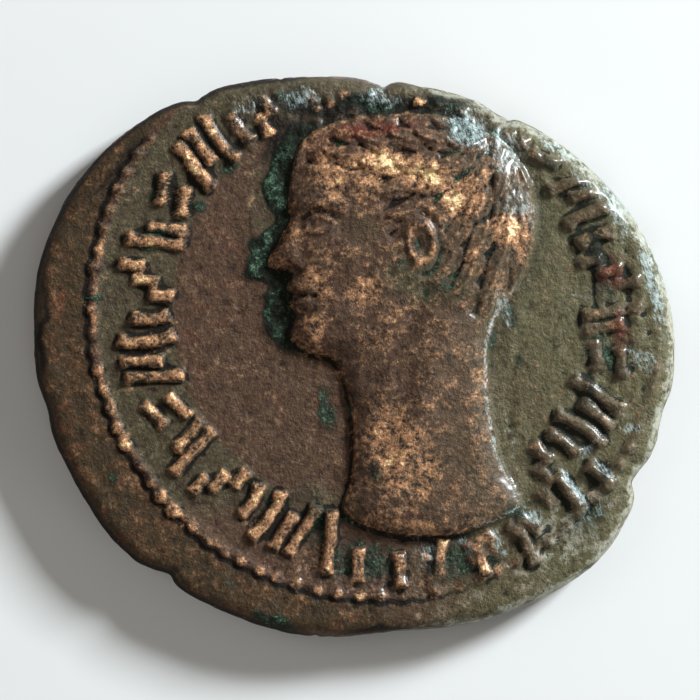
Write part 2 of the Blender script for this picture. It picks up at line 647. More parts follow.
def edge_profile(turn):
    """The rounded edge at a turn from the horizontal: distance in from the outline, and height."""
    reach = math.cos(turn) ** EDGE_FULLNESS
    rise = math.copysign(abs(math.sin(turn)) ** EDGE_FULLNESS, turn)
    return EDGE_ROUND * (1 - reach), MID_Z * (1 + rise)


def edge_drop(inset):
    """How far the rounded edge falls below the flat face at a distance in from the outline."""
    reach = np.clip(1 - inset / EDGE_ROUND, 0, 1) ** (1 / EDGE_FULLNESS)
    return MID_Z * (1 - np.sqrt(1 - reach * reach) ** EDGE_FULLNESS)


def split_depth(angle):
    """Depth of the small splits that the strike opened in the edge."""
    return sum(depth * ridge(degrees_off(angle, where), wide) for where, depth, wide in EDGE_SPLITS)


def edge_ring(angle, turn):
    """A ring of the rounded edge, a little uneven and split as a struck flan's is."""
    inset, height = edge_profile(turn)
    x, y = flan_edge(angle)
    radius = np.hypot(x, y)
    level = np.full(np.shape(angle), height)
    crumbled = patch(x * INSIDE_EDGE, y * INSIDE_EDGE, EATEN_PATCHES)
    run = angle * FLAN_WIDTH / 2
    dents = roughs(run, level * DENT_FLATNESS, BROAD_DENTS) + roughs(run, level, SMALL_DENTS)
    dents = dents + crumbled * roughs(x, y + level, CRUMBLED_DENTS)
    share = 1 - (inset + split_depth(angle) - dents) / radius
    return x * share, y * share, level


def disc_net(cells):
    """A square net laid over a disc: each point's share of the radius, and its angle."""
    line = np.linspace(-1, 1, cells + 1)
    a, b = np.meshgrid(line, line, indexing="ij")
    wide = np.abs(a) > np.abs(b)
    share = np.where(wide, a, b)
    ratio = np.where(wide, b, a) / np.where(share == 0, 1, share)
    angle = np.where(wide, ratio * np.pi / 4, np.pi / 2 - ratio * np.pi / 4)
    return np.abs(share), angle + np.where(share < 0, np.pi, 0)


def net_rim(cells):
    """Numbers of the net's outer points, in order round the disc from -45 degrees."""
    run = np.arange(cells)
    back = cells - run
    sides = ((run * 0 + cells, run), (back, run * 0 + cells), (run * 0, back), (run, run * 0))
    return np.concatenate([i * (cells + 1) + j for i, j in sides])


def net_faces(cells, upwards):
    """The four-sided faces of a net."""
    i, j = np.meshgrid(np.arange(cells), np.arange(cells), indexing="ij")
    first = (i * (cells + 1) + j).ravel()
    corners = (first, first + cells + 1, first + cells + 2, first + 1)
    return np.stack(corners if upwards else corners[::-1], axis=1)


def spread(values, reach):
    """Values of a net evened out over their neighbours, twice over."""
    for axis in (0, 1, 0, 1):
        ends = [(reach + 1, reach) if k == axis else (0, 0) for k in (0, 1)]
        sums = np.cumsum(np.pad(values, ends, mode="edge"), axis=axis)
        window = 2 * reach + 1
        low, high = [slice(None)] * 2, [slice(None)] * 2
        low[axis], high[axis] = slice(0, -window), slice(window, None)
        values = (sums[tuple(high)] - sums[tuple(low)]) / window
    return values


# Patches of each kind on the struck side: middle, radii, turn in degrees, and how strong
EATEN_PATCHES = (
    (0.0, 11.4, 6.0, 1.2, 2, 1.0), (6.4, 9.8, 2.6, 1.5, -32, 1.0), (8.4, 8.0, 1.6, 1.0, -40, 0.8),
    (11.8, 1.8, 2.0, 5.0, 2, 0.85), (10.9, -6.6, 3.0, 1.8, 45, 0.4), (1.2, -10.0, 5.4, 1.5, 0, 0.9),
    (6.9, 1.0, 0.8, 3.2, 4, 0.6), (7.3, -3.6, 0.8, 3.0, 12, 0.7), (-4.6, 10.4, 1.4, 1.0, 30, 0.6))
GREEN_PATCHES = (
    (-11.7, 2.6, 0.7, 0.3, 10, 1.0), (-7.05, 6.9, 0.45, 0.35, 0, 1.0), (-8.7, 5.4, 0.8, 0.35, -10, 1.0),
    (-5.5, 8.6, 0.7, 0.35, 40, 0.9), (-1.1, -2.5, 0.5, 1.5, 12, 0.95), (1.9, 4.1, 0.4, 0.35, 0, 0.8),
    (-10.8, -5.3, 0.4, 0.5, 0, 0.8), (3.9, 3.0, 0.5, 0.6, 20, 0.7), (7.2, 1.8, 0.5, 0.8, 10, 0.8),
    (7.5, -0.3, 0.3, 0.6, 0, 0.8), (-3.0, 11.6, 1.2, 0.5, 10, 0.8), (0.6, 11.5, 1.6, 0.5, -4, 0.9),
    (4.3, 11.3, 1.6, 0.6, -12, 0.7), (-1.6, -7.6, 0.9, 2.0, 10, 0.8), (0.3, -9.2, 2.4, 1.5, 0, 0.92),
    (4.9, -9.2, 2.2, 1.4, 10, 0.94), (4.8, 10.2, 1.3, 0.8, -40, 0.85), (-3.6, -12.0, 1.0, 0.4, -12, 1.0),
    (-5.6, -10.2, 0.8, 0.5, -30, 0.7), (7.4, -7.2, 0.9, 1.0, 0, 0.85), (10.6, -7.3, 1.6, 0.8, 40, 0.75),
    (9.6, 6.9, 0.8, 0.5, -40, 0.5), (-7.9, -8.0, 0.5, 0.3, -40, 0.6), (-2.4, -6.3, 0.5, 0.9, -20, 0.6),
    (12.4, 0.6, 0.5, 0.9, 0, 0.6), (11.4, 3.0, 0.6, 1.4, 20, 0.7), (8.8, 8.6, 1.0, 0.5, -40, 0.7),
    (0.9, -5.2, 0.5, 0.9, 0, 0.75))
GOLD_PATCHES = (
    (-0.8, 8.3, 2.0, 1.0, 18, 0.85), (1.3, 8.6, 1.5, 0.9, -10, 1.0), (3.2, 8.1, 1.3, 0.8, -20, 1.0),
    (4.4, 7.2, 1.3, 0.8, -40, 1.0), (5.4, 6.9, 0.9, 0.9, -30, 0.85), (6.9, 5.6, 1.0, 0.8, 0, 0.95),
    (7.6, 4.6, 0.5, 0.8, 10, 0.7), (1.6, -3.4, 1.6, 2.2, 0, 0.6), (3.2, -5.0, 1.0, 2.2, -6, 0.6))
OXIDE_PATCHES = (
    (-12.9, -3.2, 0.9, 2.2, 12, 0.5), (-13.2, 2.4, 0.5, 2.6, -6, 0.5), (11.5, 3.8, 0.8, 1.0, 20, 1.0),
    (12.1, 1.1, 0.6, 1.2, 0, 0.85), (0.9, 10.2, 2.6, 0.5, 4, 1.0), (-10.7, -8.4, 0.9, 0.9, 0, 0.7),
    (2.8, -10.6, 1.2, 0.6, 0, 0.4), (-4.4, 11.0, 0.9, 0.5, 30, 0.4), (12.6, -5.6, 0.5, 1.2, -30, 0.5))
COPPER_PATCHES = (
    (1.8, -4.4, 2.0, 3.6, 4, 1.0), (-1.4, 6.9, 1.6, 0.6, 10, 0.9), (-1.9, 1.6, 0.9, 1.8, 0, 0.8),
    (1.0, 0.9, 1.4, 0.8, 10, 0.7), (6.9, 3.2, 0.8, 1.4, 0, 0.8), (0.3, 8.0, 2.9, 1.5, 8, 1.0),
    (4.7, 7.3, 2.2, 1.6, -35, 1.0), (6.2, -5.4, 0.5, 2.2, 10, 0.4), (2.0, -10.2, 3.6, 0.6, 0, 0.6),
    (-1.6, -9.0, 1.0, 1.2, 0, 0.7), (0.2, -0.4, 1.2, 0.5, 30, 0.6), (0.4, 3.0, 1.4, 0.9, 0, 0.9),
    (-1.5, 3.3, 0.9, 1.4, 20, 0.85), (2.4, 2.0, 1.0, 0.6, 10, 0.7))
CRUST_PATCHES = (
    (0.6, 11.3, 6.4, 0.5, 2, 0.8), (-3.4, 9.9, 0.7, 1.4, -20, 0.7), (5.0, 10.4, 1.6, 0.6, -20, 0.6),
    (0.8, -5.2, 0.4, 1.0, 0, 0.6), (10.7, 5.0, 0.35, 1.2, 10, 0.8), (10.6, -1.4, 0.5, 1.0, -20, 0.7),
    (11.2, -5.3, 0.3, 0.5, 20, 0.7), (3.4, -9.3, 0.3, 0.9, 10, 0.8), (-13.0, -5.6, 0.5, 2.6, 28, 0.9),
    (-9.6, -9.8, 2.6, 0.5, -42, 0.9), (-14.0, 1.0, 0.3, 4.0, 0, 0.7), (-4.6, -12.2, 2.4, 0.4, -10, 0.6),
    (2.4, -12.3, 4.0, 0.3, 6, 0.7), (-10.8, 8.4, 3.0, 0.3, 48, 0.6))
HAZE_PATCHES = (
    (3.0, 3.4, 2.6, 1.4, -10, 0.9), (0.2, 5.6, 1.4, 1.0, 0, 0.6), (-3.8, 7.0, 1.3, 3.0, -8, 0.8),
    (-9.6, 9.2, 2.0, 1.6, 40, 0.6), (-1.4, -6.8, 2.6, 1.2, -10, 0.7), (6.2, 0.6, 1.0, 2.6, 0, 0.6))
SHEEN_PATCHES = (
    (5.0, 10.3, 1.3, 1.1, -40, 0.9), (6.8, 9.2, 1.3, 1.0, -50, 0.9), (7.4, 6.8, 0.8, 1.6, 25, 0.7),
    (9.4, 9.3, 1.6, 0.35, -40, 0.9), (11.7, 6.6, 0.45, 2.0, 24, 0.9), (13.4, 3.2, 0.4, 2.4, 14, 1.0),
    (12.9, -0.2, 0.9, 0.35, -30, 0.8), (6.8, 2.0, 0.5, 1.2, 8, 0.8), (7.0, -4.0, 0.25, 2.2, 12, 0.6),
    (9.9, -6.0, 1.3, 0.3, -53, 1.0), (11.3, -5.1, 1.0, 0.25, -45, 0.8), (5.0, -8.4, 0.25, 1.2, 18, 0.7),
    (12.4, -3.2, 0.8, 0.3, -35, 0.8), (-2.4, 11.6, 1.2, 0.4, 10, 0.8), (1.0, 11.7, 1.4, 0.3, 0, 0.8),
    (-4.6, 11.2, 1.2, 0.5, 20, 0.6), (10.4, 8.0, 1.0, 0.5, -42, 0.6), (8.2, -7.2, 0.9, 0.3, -50, 0.8),
    (10.6, -4.4, 0.3, 1.0, -40, 0.8), (6.6, -8.6, 0.3, 1.0, 20, 0.7), (3.2, -8.8, 0.6, 0.9, 0, 0.6),
    (11.0, -7.0, 1.6, 0.3, 42, 0.6), (10.2, 2.6, 0.6, 0.25, -30, 0.6))
PALE_PATCHES = (
    (9.6, -8.0, 4.4, 2.2, 42, 0.8), (4.6, -11.2, 3.0, 0.8, 14, 0.65), (11.6, -2.6, 1.2, 2.6, 0, 0.6))
# Their ragged sides: reach, size, seeds across and up, layers; and how flat their middles are
RAGGED_PATCHES = (0.45, 1.1, (61, 67), 3)
PATCH_FLATNESS = 1.3

# Fades: where each starts and where it is full. Millimetres across or up the coin
TO_RIGHT = (5, 9)
TO_LEFT = (1, -4)
STROKES_LEFT = (4, -2)
LEGEND_RIGHT = (3, 8)
LEGEND_BELOW = (-6, -8)
RIM_LEFT = (4, 0)
PALE_RIGHT = (-1, 5)
BELOW_BUST = (-7, -8)
BORDER_ABOVE = (-1, 2)
# Millimetres in from the edge
FREE_OF_EDGE = (TRIM, TRIM + 0.5)
RELIEF_IN = (0.11, 0.61)
OFF_SHOULDER = (0.2, 0.5)
DARK_SHOULDER = (0.525, 0.025)
PALE_SHOULDER = (0.78, 0.18)
# Millimetres out from the die's middle
IN_LEGEND = (STROKE_FOOT - 0.5, STROKE_FOOT + 0.3)
IN_BORDER = (BORDER_RADIUS, BORDER_RADIUS - 0.3)
PAST_BORDER = (BORDER_RADIUS, BORDER_RADIUS + 0.4)
# Millimetres beside the head's outline
CRUST_INNER = (-0.06, 0.09)
CRUST_OUTER = 0.6
UNSHADED = (1.4, 0.9)
NEAR_HEAD = (1.3, 0.4)
NAPE_LINE = -0.12
NAPE_WIDTH = (0.22, 0)
# Shares of the head's height, across and up
CRUST_FRONT = (0.28, 0.08)
CRUST_CHIN = (-0.1, 0.1)
CRUST_CROWN = (1.05, 0.9)
BACK_OF_HEAD = (0.55, 0.85)
BEHIND_NECK = (0.7, 0.8)
BELOW_NAPE = (0.3, 0.2)
ABOVE_NECK = (-0.2, 0.1)
BUST_LINE = (0, 0.02)
# Millimetres of relief, or over and under what is near
ON_RELIEF = (0, 0.15)
PROUD_RELIEF = (0, 0.2)
HIGH_RELIEF = (0.7, 1)
PROUD = (-0.005, 0.015)
SUNK = (0.005, 0.075)
HOLLOW = (0, 0.08)
ON_BORDER = (0, 0.05)

# Blotches: size, seed, contrast, cover
BREAKS = (1.5, 39, 2.2, 0.1)
HOLLOW_GREEN = (2.2, 17, 2.2, -0.1)
SPECKS = (1.4, 19, 2.4, -0.7)
# Lumps: height, size, seed, layers
CRUST_WANDER = ((0.8, 1.9, 3, 3),)
CRUST_LUMPS = ((1.3, 0.6, 23, 3),)
FIELD_LUMPS = ((0.035, 5.5, 41, 3), (0.025, 1.2, 43, 3))
EATEN_LUMPS = ((0.19, 0.8, 47, 4),)
SCUFFS = ((0.04, 0.9, 59, 4),)
# Pits: depth, size, seed, share of the cells
POCKS = ((0.04, 1.5, 53, 0.4), (0.03, 0.7, 57, 0.35))
EATEN_PITS = ((0.09, 0.85, 49, 0.6),)
SCUFF_PITS = ((0.03, 1.7, 51, 0.35),)
# How strongly each thing acts, from 0 to 1
BREAK = 0.8
SPARED_STROKES = 0.75
LEAST_LEAFY = 0.62
LEAST_SPECKED = 0.2
SPECK_STRENGTH = 0.8
CALM_FLESH = 0.6
EATEN_LOSS = 0.2
DULL_BORDER = 0.6
RUB = 0.92
LESS_ON_FLESH = 0.42
LESS_TO_RIGHT = 0.7
HIGH_RUB = 0.15
LIT_BACK = 0.6
DARK_EDGE = 0.75
DARK_WALL = 0.8
FACE_CRUST = 0.95
COPPER_STROKES = 0.78
LESS_BELOW = 0.35
COPPER_FLESH = 0.34
COPPER_HAZE = 0.9
WARM_HAZE = 0.8
WARM_STROKES = 0.9
LEGEND_HAZE = 0.8
CLEARED = 0.5
HEAD_HAZE = 0.7
NAPE_SHEEN = 0.8
# Leaves of the crust before the face: size, seed, contrast, cover at the face and what each millimetre adds
LEAVES = (1.0, 21, 2)
LEAF_COVER = (-0.1, 0.6)
LEAF_LAYERS = 3
# How the eaten ground's lumps are drawn out, and how many cells count as near
DRAWN = (1.5, 0.5)
HOLLOW_CELLS = 3
NEAR_CELLS = 2
CRUST_REACH = 1.35
CRUST_BASE = 0.5
CRUST_RELIEF = 0.06
STROKE_JOIN = 0.05
TOP_JOIN = 0.02
TOP_SPARE = 0.005

# The marks that the finish follows
MARKS = ("worn", "sunk", "green", "gold", "copper", "oxide", "eaten", "warm", "rim", "haze", "sheen", "pale")


def patch(x, y, patches):
    """How strongly some patches lie on a point, with ragged sides."""
    ragged_x, ragged_y = ragged(x, y, *RAGGED_PATCHES)
    strongest = np.zeros(np.shape(x))
    for at_x, at_y, wide, tall, turn, strength in patches:
        off = swell(ragged_x, ragged_y, (at_x, at_y), (wide, tall), turn)
        strongest = np.maximum(strongest, strength * np.exp(-(off ** PATCH_FLATNESS)))
    return strongest


def strongest_of(*shares):
    """The strongest of several shares at each point."""
    return np.maximum.reduce(shares)


def pitting(x, y, kinds):
    """Pits of several sizes added up: depth, size, seed and share of the cells of each."""
    return sum(depth * pits(x, y, size, seed, share) for depth, size, seed, share in kinds)


def struck_relief(x, y, inset, beside, eaten):
    """Heights of the strokes and the border over the field, and where the border's dark foot lies."""
    broken = 1 - BREAK * eaten * blotches(x, y, *BREAKS)
    lower = strokes_height(x, y, [[np.array(end) for end in line] for line in LOWER_STROKES])
    strokes = np.maximum(strokes_height(x, y, legend_strokes()) * broken, LOWER_BOLDNESS * lower)
    border, foot = border_height(x, y, inset)
    return strokes * smooth(beside / STROKE_WALL), border * broken, foot


def crust_beside_face(x, y, u, v, beside):
    """The band of crust that built up in front of the head."""
    facing = eased(u, *CRUST_FRONT) * eased(v, *CRUST_CHIN) * eased(v, *CRUST_CROWN)
    outer = CRUST_REACH + roughs(x, y, CRUST_WANDER)
    return facing * eased(beside, *CRUST_INNER) * smooth((outer - beside) / CRUST_OUTER)


def green_crust(x, y, beside, relief, eaten, face_crust, spared):
    """Green in patches, in leaves before the face, in hollows and in specks."""
    in_patches = patch(x, y, GREEN_PATCHES) * (1 - SPARED_STROKES * spared)
    leaf_cover = LEAF_COVER[0] + LEAF_COVER[1] * beside
    leafy = face_crust * at_least(LEAST_LEAFY, blotches(x, y, *LEAVES, leaf_cover, LEAF_LAYERS))
    in_hollows = eased(spread(relief, HOLLOW_CELLS) - relief, *HOLLOW) * blotches(x, y, *HOLLOW_GREEN)
    speckled = blotches(x, y, *SPECKS) * at_least(LEAST_SPECKED, eaten)
    return strongest_of(in_patches, leafy, in_hollows, SPECK_STRENGTH * speckled)


def struck_height(x, y, inset, relief, crust, eaten, flesh):
    """Height of the struck side: its relief on a lumpy field, eaten at the top, the right and the bottom."""
    field = roughs(x, y, FIELD_LUMPS) * (1 - CALM_FLESH * flesh)
    lumps_drawn = roughs(x * DRAWN[0], y * DRAWN[1], EATEN_LUMPS)
    lumpy = eaten * (lumps_drawn - pitting(x, y, EATEN_PITS))
    scuffs = flesh * (roughs(x, y, SCUFFS) - pitting(x, y, SCUFF_PITS))
    raised = relief * (1 - EATEN_LOSS * eaten) + crust + field + lumpy + scuffs
    pocks = pitting(x, y, POCKS) * eased(inset, *FREE_OF_EDGE)
    height = FIELD_Z - edge_drop(inset) + raised * eased(inset, *RELIEF_IN) - pocks
    return rubbed_to(height, COIN_TOP + TOP_SPARE, TOP_JOIN)


def obverse(x, y, inset):
    """Heights of the struck side and the marks that its finish follows."""
    u, v = head_place(x, y)
    bust_rise, depth = bust(u, v)
    beside = -depth * HEAD_HEIGHT
    off_head = np.abs(beside)
    eaten = patch(x, y, EATEN_PATCHES)
    hazy = patch(x, y, HAZE_PATCHES)
    strokes, border, border_foot = struck_relief(x, y, inset, beside, eaten)
    low_relief = blended([strokes, border], STROKE_JOIN) * eased(inset, *FREE_OF_EDGE)
    relief = np.maximum(bust_rise, low_relief)
    flesh = eased(depth, *BUST_LINE)
    ground = 1 - flesh
    on_strokes = eased(relief, *ON_RELIEF) * ground
    below = eased(y, *BELOW_BUST)
    face_crust = crust_beside_face(x, y, u, v, beside)
    green = green_crust(x, y, beside, relief, eaten, face_crust, on_strokes * below)
    crust = CRUST_RELIEF * (green + face_crust) * (CRUST_BASE + roughs(x, y, CRUST_LUMPS))
    height = struck_height(x, y, inset, relief, crust, eaten, flesh)

    # what stands proud is rubbed, and what lies low keeps its crust
    near = spread(height, NEAR_CELLS)
    proud = eased(height - near, *PROUD) * eased(relief, *PROUD_RELIEF)
    dull = DULL_BORDER * eased(border - strokes, *ON_BORDER) * ground * eased(y, *BORDER_ABOVE)
    rub = (RUB - LESS_ON_FLESH * flesh) * (1 - LESS_TO_RIGHT * eased(x, *TO_RIGHT)) * (1 - dull)
    lit_side = 1 - LIT_BACK * eased(u, *BACK_OF_HEAD) * eased(off_head, *UNSHADED)
    sunk = eased(near - height, *SUNK) * lit_side * eased(inset, *OFF_SHOULDER)
    dark_edge = DARK_EDGE * eased(inset, *DARK_SHOULDER) * eased(x, *TO_LEFT)
    from_die = np.hypot(x - DIE_X, y - DIE_Y)
    in_legend = eased(from_die, *IN_LEGEND) * eased(from_die, *IN_BORDER) * ground
    clear = np.maximum(eased(x, *LEGEND_RIGHT), eased(y, *LEGEND_BELOW))
    beside_head = eased(off_head, *NEAR_HEAD) * eased(v, *ABOVE_NECK) * ground
    nape = eased(v, *BELOW_NAPE) * eased(u, *BEHIND_NECK)
    nape_edge = eased(np.abs(beside - NAPE_LINE), *NAPE_WIDTH) * nape
    bare_strokes = (COPPER_STROKES - LESS_BELOW * below) * on_strokes * eased(x, *STROKES_LEFT)
    marks = {
        "worn": np.clip(rub * proud + HIGH_RUB * eased(relief, *HIGH_RELIEF), 0, 1),
        "sunk": np.clip(strongest_of(sunk, FACE_CRUST * face_crust, border_foot, dark_edge,
                                     patch(x, y, CRUST_PATCHES)), 0, 1),
        "green": green,
        "gold": patch(x, y, GOLD_PATCHES),
        "copper": strongest_of(patch(x, y, COPPER_PATCHES), bare_strokes,
                               COPPER_FLESH * flesh * (1 - COPPER_HAZE * hazy)),
        "oxide": patch(x, y, OXIDE_PATCHES),
        "eaten": eaten,
        "warm": np.maximum(flesh * (1 - WARM_HAZE * hazy), WARM_STROKES * on_strokes),
        "rim": eased(from_die, *PAST_BORDER) * eased(x, *RIM_LEFT),
        "haze": strongest_of(in_legend * (LEGEND_HAZE - CLEARED * clear), HEAD_HAZE * beside_head, hazy),
        "sheen": np.maximum(patch(x, y, SHEEN_PATCHES), NAPE_SHEEN * nape_edge),
        "pale": np.maximum(eased(inset, *PALE_SHOULDER) * eased(x, *PALE_RIGHT), patch(x, y, PALE_PATCHES))}
    return height, marks


def round_form(x, y, at_x, at_y, wide, tall):
    """A low rounded form of the reverse's figure: 1 in its middle, 0 outside it."""
    off = ((x - at_x) / wide) ** 2 + ((y - at_y) / tall) ** 2
    return dome(off)


def bar_form(x, y, line, half_width):
    """A rounded bar of the reverse's figure along a line of points."""
    nearest = np.full(np.shape(x), np.inf)
    for start, end in zip(line, line[1:]):
        nearest = np.minimum(nearest, to_segment(x, y, start, end)[0])
    return dome((nearest / half_width) ** 2)


# The reverse's figure, in shares of its height: middle and radii of its round forms
FIGURE_ROUNDS = ((0, 0.415, 0.05, 0.062), (-0.004, 0.462, 0.04, 0.028), (-0.245, 0.465, 0.022, 0.035),
                 (0.19, 0.04, 0.1, 0.12))
FIGURE_WORN = ((0, 0.245, 0.094, 0.118), (0, 0.06, 0.078, 0.125))
# Its arms, spear, folds, feet and ground line, and half the width of each
FIGURE_BARS = (
    (((-0.055, 0.31), (-0.145, 0.272), (-0.235, 0.33)), 0.024),
    (((-0.245, -0.46), (-0.245, 0.46)), 0.013),
    (((0.06, 0.315), (0.12, 0.245), (0.165, 0.16)), 0.025),
    (((-0.051, 0.02), (-0.11, -0.445)), 0.025),
    (((-0.018, 0.02), (-0.039, -0.43)), 0.025),
    (((0.015, 0.02), (0.0325, -0.445)), 0.025),
    (((0.048, 0.02), (0.104, -0.43)), 0.025),
    (((-0.06, -0.45), (-0.13, -0.47)), 0.017),
    (((0.08, -0.45), (0.14, -0.47)), 0.017),
    (((-0.3, -0.5), (0.3, -0.5)), 0.015))
# Slanted strokes in the field beside the figure: middle across
FIELD_STROKES = (-7.9, -6.6, 6.6, 7.9)
FIELD_STROKE_Y = 1.3
FIELD_STROKE_HEIGHT = 3.0
FIELD_STROKE_LEAN = 0.3
# How bluntly the figure's middle is worn, and the ring round it: height, and half width at foot and top
WORN_BLUNTNESS = 1.35
RING_RELIEF = 0.16
RING_SIDE = (0.42, 0.12)
# The reverse's lumps, pocks and blotches, as on the struck side, and each blotch's strength before them
REVERSE_LUMPS = ((0.03, 3.5, 141, 4), (0.02, 1.1, 143, 2))
REVERSE_RISE = 0.02
REVERSE_POCKS = ((0.05, 1.7, 153, 0.4),)
REVERSE_EDGE = (0.3, 0.8)
LEAST_CLEARANCE = 0.004
REVERSE_BLOTCHES = {
    "sunk": (0.6, 1.3, 119, 1.4, 0.1), "green": (1, 3.2, 117, 1.8, -0.25), "copper": (0.5, 4.5, 121, 1, 0.5),
    "oxide": (0.6, 3.9, 127, 1.5, -0.3), "eaten": (1, 4.1, 129, 1.5, -0.2), "haze": (0.5, 3.0, 131, 1, 0.5)}
REVERSE_RUB = (0.12, 0.02)
REVERSE_WORN = (0.3, 0.5, 1.8, 123)
LEAST_GREEN = 0.4
FIELD_INSIDE = (EDGE_ROUND + LAND, EDGE_ROUND + LAND + LAND_SLOPE)
FIGURE_INSIDE = (EDGE_ROUND + LAND + 0.4, EDGE_ROUND + LAND + 0.9)
IN_FIELD = (0, 0.1)
REVERSE_SUNK = (0.2, 0.32)
REVERSE_RIM = (1.6, 0)
# The edge's blotches, and where its wall is dark and its shoulder pale
EDGE_BLOTCHES = {
    "worn": (0.3, 1.9, 173, 1, 0.5), "sunk": (0.5, 1.4, 177, 1.6, -0.1), "green": (0.8, 2.6, 171, 2, -0.7),
    "copper": (0.5, 2.4, 183, 1.5, 0), "oxide": (1, 3.4, 179, 1.6, -0.2), "haze": (0.4, 2.2, 181, 1, 0.5)}
SHEEN_INSIDE = 0.97
PALE_WALL = (0.6 * MID_Z, 1.6 * MID_Z)


def figure(x, y):
    """Height of the standing draped figure and its surrounds over the reverse's field."""
    across, up = (x - REVERSE_X) / FIGURE_HEIGHT, (REVERSE_Y - y) / FIGURE_HEIGHT
    height = np.zeros(np.shape(x))
    for at_x, at_y, wide, tall in FIGURE_ROUNDS:
        height = np.maximum(height, FIGURE_RELIEF * round_form(across, up, at_x, at_y, wide, tall))
    for line, half_width in FIGURE_BARS:
        height = np.maximum(height, FIGURE_RELIEF * bar_form(across, up, line, half_width))
    for at_x, at_y, wide, tall in FIGURE_WORN:
        worn = np.minimum(1, WORN_BLUNTNESS * round_form(across, up, at_x, at_y, wide, tall))
        height = np.maximum(height, SINK * worn)
    for middle in FIELD_STROKES:
        foot = (middle - FIELD_STROKE_LEAN, -FIELD_STROKE_Y - FIELD_STROKE_HEIGHT / 2)
        head = (middle + FIELD_STROKE_LEAN, -FIELD_STROKE_Y + FIELD_STROKE_HEIGHT / 2)
        stroke = bar_form(x - REVERSE_X, REVERSE_Y - y, (foot, head), STROKE_WIDTH / 2)
        height = np.maximum(height, FIGURE_RELIEF * stroke)
    ring = np.abs(np.hypot(x - REVERSE_X, y - REVERSE_Y) - REVERSE_BORDER)
    return np.maximum(height, RING_RELIEF * eased(ring, *RING_SIDE))


def blotchy(x, y, kinds):
    """Marks that are only blotches: strength, size, seed, contrast and cover of each, by its name."""
    return {name: strength * blotches(x, y, *kind) for name, (strength, *kind) in kinds.items()}


def reverse(x, y, inset):
    """Heights of the reverse, which is worn flat where the coin rests, and its marks."""
    out_x, out_y = x / (FLAN_WIDTH / 2), y / (FLAN_HEIGHT / 2)
    oval_inset = (1 - np.hypot(out_x, out_y)) * (FLAN_WIDTH + FLAN_HEIGHT) / 4
    field = SINK * eased(oval_inset, *FIELD_INSIDE)
    relief = figure(x, y) * eased(oval_inset, *FIGURE_INSIDE)
    free = eased(inset, *REVERSE_EDGE)
    lumpy = (roughs(x, y, REVERSE_LUMPS) + REVERSE_RISE) * eased(field, *IN_FIELD)
    height = field - relief + (lumpy + pitting(x, y, REVERSE_POCKS)) * free
    height = np.maximum(height, LEAST_CLEARANCE * free)
    sunk = eased(height, *REVERSE_SUNK)
    marks = blotchy(x, y, REVERSE_BLOTCHES)
    least, varying, *spots = REVERSE_WORN
    marks["worn"] = eased(height, *REVERSE_RUB) * free * (least + varying * rough(x, y, *spots))
    marks["sunk"] *= sunk
    marks["green"] *= at_least(LEAST_GREEN, sunk)
    marks["rim"] = eased(oval_inset, *REVERSE_RIM)
    drop = edge_drop(inset)
    return drop + height * (drop < NEARLY_NONE), marks


def face_net(cells, turn, surface):
    """One face of the coin: its points and their marks."""
    share, angle = disc_net(cells)
    rim_x, rim_y, _ = edge_ring(angle, turn)
    edge_x, edge_y = flan_edge(angle)
    radius = np.hypot(edge_x, edge_y)
    inset = radius - share * (radius - edge_profile(turn)[0])
    x, y = rim_x * share, rim_y * share
    height, marks = surface(x, y, inset)
    points = np.stack([x.ravel(), y.ravel(), height.ravel()], axis=1)
    return points, {name: values.ravel() for name, values in marks.items()}


def edge_marks(x, y, z):
    """The marks of the edge: rubbed round the middle, dark and green here and there."""
    marks = blotchy(np.arctan2(y, x) * FLAN_WIDTH / 2, z, EDGE_BLOTCHES)
    marks["sunk"] = np.maximum(marks["sunk"], DARK_WALL * eased(x, *TO_LEFT))
    marks["eaten"] = patch(x * INSIDE_EDGE, y * INSIDE_EDGE, EATEN_PATCHES)
    marks["rim"] = eased(x, *RIM_LEFT)
    marks["sheen"] = patch(x * SHEEN_INSIDE, y * SHEEN_INSIDE, SHEEN_PATCHES)
    marks["pale"] = eased(x, *PALE_RIGHT) * eased(z, *PALE_WALL)
    return marks


def band_faces(upper, lower):
    """Four-sided faces between two rings of as many points."""
    following = np.roll(lower, -1), np.roll(upper, -1)
    return np.stack([lower, following[0], following[1], upper], axis=1)


def joining_faces(upper, lower):
    """Triangles between a ring and one of half as many points."""
    first, between, last = upper[::2], upper[1::2], np.roll(upper[::2], -1)
    following = np.roll(lower, -1)
    return np.concatenate([np.stack(corners, axis=1) for corners in (
        (lower, following, between), (lower, between, first), (following, last, between))])


def struck_coin(material):
    """The whole coin as one closed mesh: struck side, rounded edge and reverse."""
    parts = [face_net(OBVERSE_CELLS, FACE_TURN, obverse)]
    faces = [net_faces(OBVERSE_CELLS, True)]
    ring = net_rim(OBVERSE_CELLS)
    angle = -np.pi / 4 + 2 * np.pi * np.arange(len(ring)) / len(ring)
    made = (OBVERSE_CELLS + 1) ** 2
    for band in range(1, WALL_BANDS):
        x, y, z = edge_ring(angle, FACE_TURN * (1 - 2 * band / WALL_BANDS))
        parts.append((np.stack([x, y, z], axis=1), edge_marks(x, y, z)))
        lower = made + np.arange(len(ring))
        faces.append(band_faces(ring, lower))
        ring, made = lower, made + len(ring)
    parts.append(face_net(REVERSE_CELLS, -FACE_TURN, reverse))
    faces.append(joining_faces(ring, made + net_rim(REVERSE_CELLS)))
    faces.append(made + net_faces(REVERSE_CELLS, False))
    return coin_object(parts, faces, material)


def new_piece(name, points, faces, material):
    """A mesh object with its material, linked to the scene."""
    mesh = bpy.data.meshes.new(name)
    mesh.from_pydata(points, [], faces)
    mesh.materials.append(material)
    piece = bpy.data.objects.new(name, mesh)
    bpy.context.collection.objects.link(piece)
    return piece


